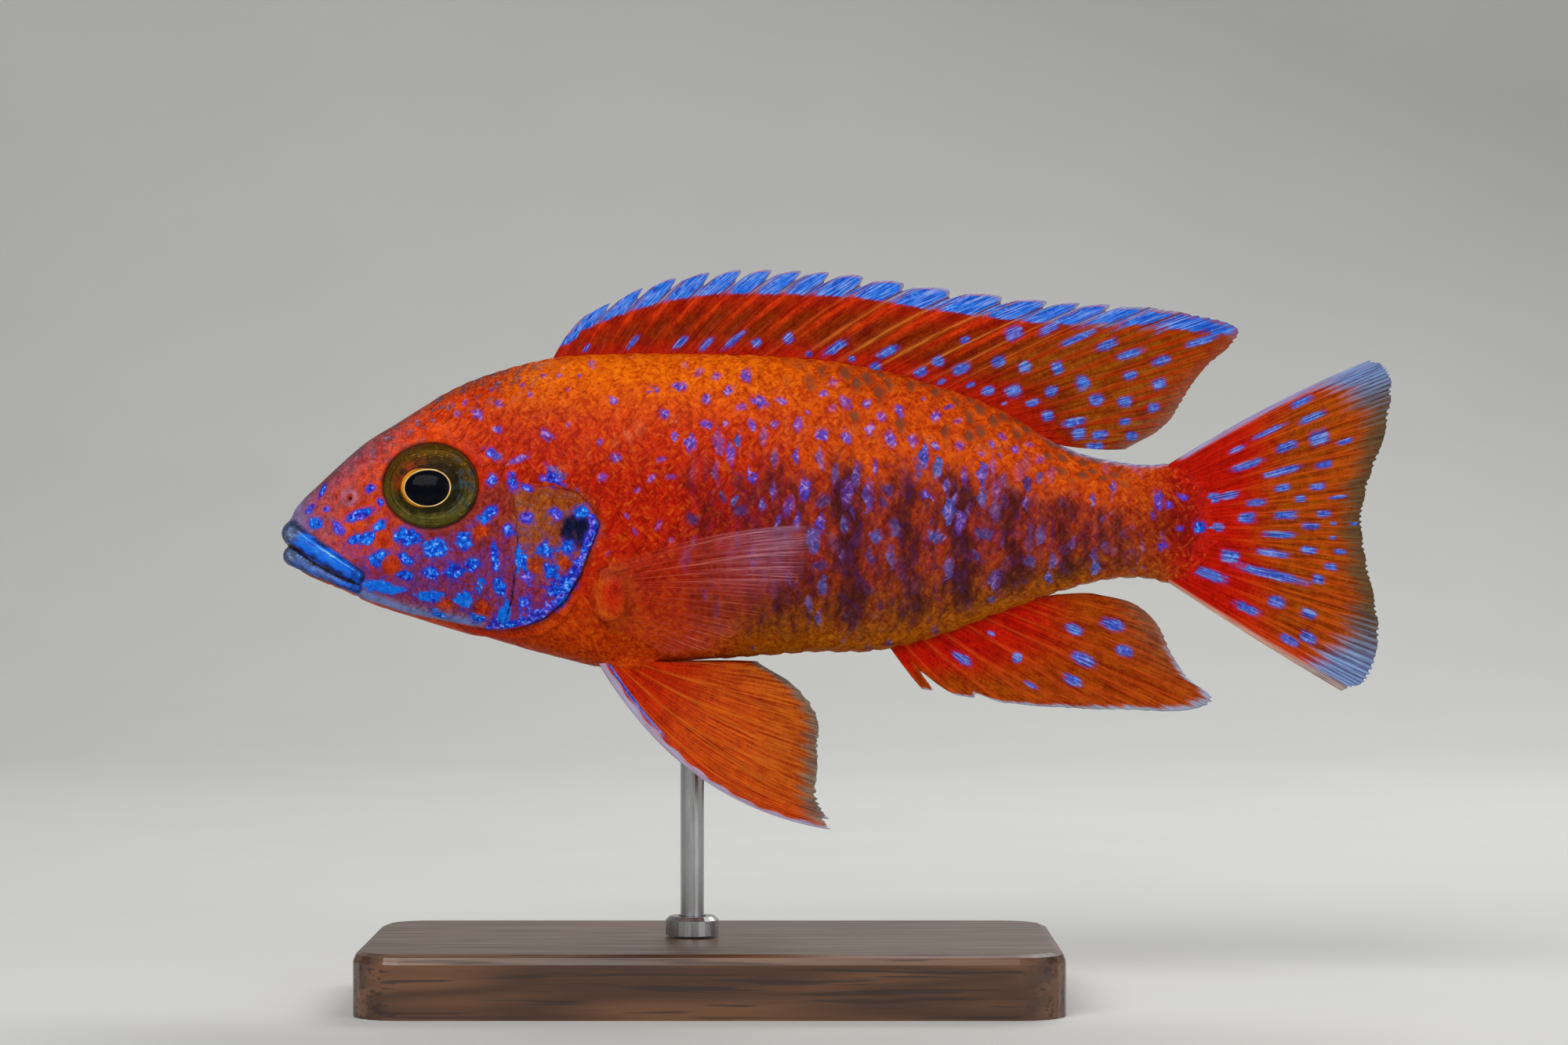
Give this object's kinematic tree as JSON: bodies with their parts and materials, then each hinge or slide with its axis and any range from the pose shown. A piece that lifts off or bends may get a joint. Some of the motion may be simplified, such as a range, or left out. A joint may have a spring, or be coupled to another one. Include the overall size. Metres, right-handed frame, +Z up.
{
  "type": "peacock cichlid",
  "caption": "Life-size still model of an adult male peacock cichlid, orange-red with iridescent blue spots, swimming level on a plain rod and wooden base",
  "frame": {"origin": "On the surface that the stand rests on, under the middle of the whole model's box; the head points to -X, the fish's left side to -Y, up is +Z", "axes": "X runs from head to tail, Y from the left side to the right side, Z up"},
  "size_m": [0.1419, 0.048, 0.0931],
  "materials": {
    "skin": "wet fish skin under small overlapping scales, orange-red with blue iridescent spots",
    "lips": "smooth wet blue lips",
    "eyes": "clear cornea over a brown-olive iris with a thin gold ring and a black pupil",
    "fins": "thin rayed fin skin, red with blue dashes and pale translucent margins",
    "stand_wood": "dark stained wood, satin lacquer",
    "stand_metal": "plain brushed steel rod and collar"
  },
  "bodies": {
    "root": {"head": "skin", "lower_jaw": "skin", "gill_cover_left": "skin", "gill_cover_right": "skin", "trunk_front": "skin", "trunk_rear": "skin", "tail_stem": "skin", "upper_lip": "lips", "lower_lip": "lips", "eye_left": "eyes", "eye_right": "eyes", "dorsal_fin": "fins", "anal_fin": "fins", "caudal_fin": "fins", "pelvic_fin_left": "fins", "pelvic_fin_right": "fins", "pectoral_fin_left": "fins", "pectoral_fin_right": "fins", "stand_base": "stand_wood", "stand_rod": "stand_metal", "stand_collar": "stand_metal"}
  },
  "joints": []
}
